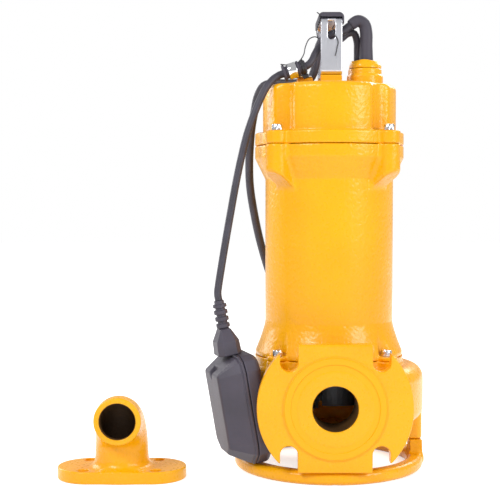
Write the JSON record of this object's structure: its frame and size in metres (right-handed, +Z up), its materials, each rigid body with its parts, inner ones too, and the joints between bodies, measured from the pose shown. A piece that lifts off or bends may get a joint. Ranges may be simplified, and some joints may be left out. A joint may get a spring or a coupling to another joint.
{
  "type": "submersible sewage pump",
  "caption": "Yellow cast-iron submersible sewage pump with slotted discharge flange, strap handle and float switch, its hose elbow loose beside it.",
  "frame": {"origin": "middle of the object's footprint on the floor, free cords left out", "axes": "+Z up along the pump's shaft, -Y out of the discharge flange, the loose elbow at -X"},
  "size_m": [0.3684, 0.3438, 0.462],
  "materials": {
    "paint": "glossy hammered yellow enamel on cast iron",
    "bright_steel": "bright zinc-plated steel",
    "strap_steel": "brushed stainless strip",
    "rubber": "matt black moulded rubber",
    "cord_rubber": "matt black rubber sheath",
    "nylon": "black nylon",
    "copper": "enamelled copper wire under varnish",
    "lamination": "stacked electrical steel",
    "ceramic": "pressed ceramic ring",
    "can": "drawn aluminium can",
    "cream": "cream moulded plastic",
    "iron": "machined grey iron"
  },
  "bodies": {
    "pump": {"base_ring": "paint", "volute_casing": "paint", "motor_housing": "paint", "top_cover": "paint", "gland_nut": "paint", "cover_bolt_1": "bright_steel", "cover_bolt_2": "bright_steel", "cover_bolt_3": "bright_steel", "cover_bolt_4": "bright_steel", "housing_bolt_1": "bright_steel", "housing_bolt_2": "bright_steel", "housing_bolt_3": "bright_steel", "housing_bolt_4": "bright_steel", "base_screw_1": "bright_steel", "base_screw_2": "bright_steel", "base_screw_3": "bright_steel", "base_screw_4": "bright_steel", "handle_screw_front": "bright_steel", "handle_screw_back": "bright_steel", "cord_clamp": "bright_steel", "clamp_screw": "bright_steel", "lower_bearing_outer": "bright_steel", "upper_bearing_outer": "bright_steel", "handle_strap": "strap_steel", "gland_rubber": "rubber", "cord_sleeve": "rubber", "handle_grip": "rubber", "clamp_liner": "rubber", "casing_o_ring": "rubber", "cover_o_ring": "rubber", "plug": "rubber", "power_cord": "cord_rubber", "power_cord_coil": "cord_rubber", "power_cord_tail": "cord_rubber", "float_cord_fixed": "cord_rubber", "cable_tie": "nylon", "coil_tie": "nylon", "stator_winding": "copper", "stator_core": "lamination", "seal_seat": "ceramic", "capacitor": "can", "upper_bearing_bracket": "iron", "seal_plate": "iron"},
    "rotor": {"shaft": "bright_steel", "rotor_core": "lamination", "lower_bearing_inner": "bright_steel", "lower_bearing_balls": "bright_steel", "upper_bearing_inner": "bright_steel", "upper_bearing_balls": "bright_steel", "seal_rotor": "bright_steel", "impeller": "iron", "impeller_nut": "bright_steel"},
    "float_switch": {"float_cord_free": "cord_rubber", "float_shell_front": "rubber", "float_shell_back": "rubber", "float_boot": "rubber", "float_ball_cage": "cream", "float_microswitch": "nylon"},
    "float_ball": {"float_ball": "bright_steel"},
    "loose_elbow": {"discharge_elbow": "paint"}
  },
  "joints": [
    {"name": "rotor_spin", "type": "hinge", "parent": "pump", "child": "rotor", "pos_m": [0.08725, 0.0019, 0.15], "axis": [0, 0, 1], "continuous": true},
    {"name": "float_swing", "type": "hinge", "parent": "pump", "child": "float_switch", "pos_m": [0.03525, -0.0281, 0.3987], "axis": [0.766, 0.6428, 0], "range_deg": [0, 85]},
    {"name": "float_ball_roll", "type": "slide", "parent": "float_switch", "child": "float_ball", "axis": [-0.1669, -0.0479, 0.9848], "range_m": [0, 0.03]},
    {"name": "elbow_lift", "type": "slide", "parent": "pump", "child": "loose_elbow", "axis": [0, 0, 1], "range_m": [0, 0.12]}
  ]
}
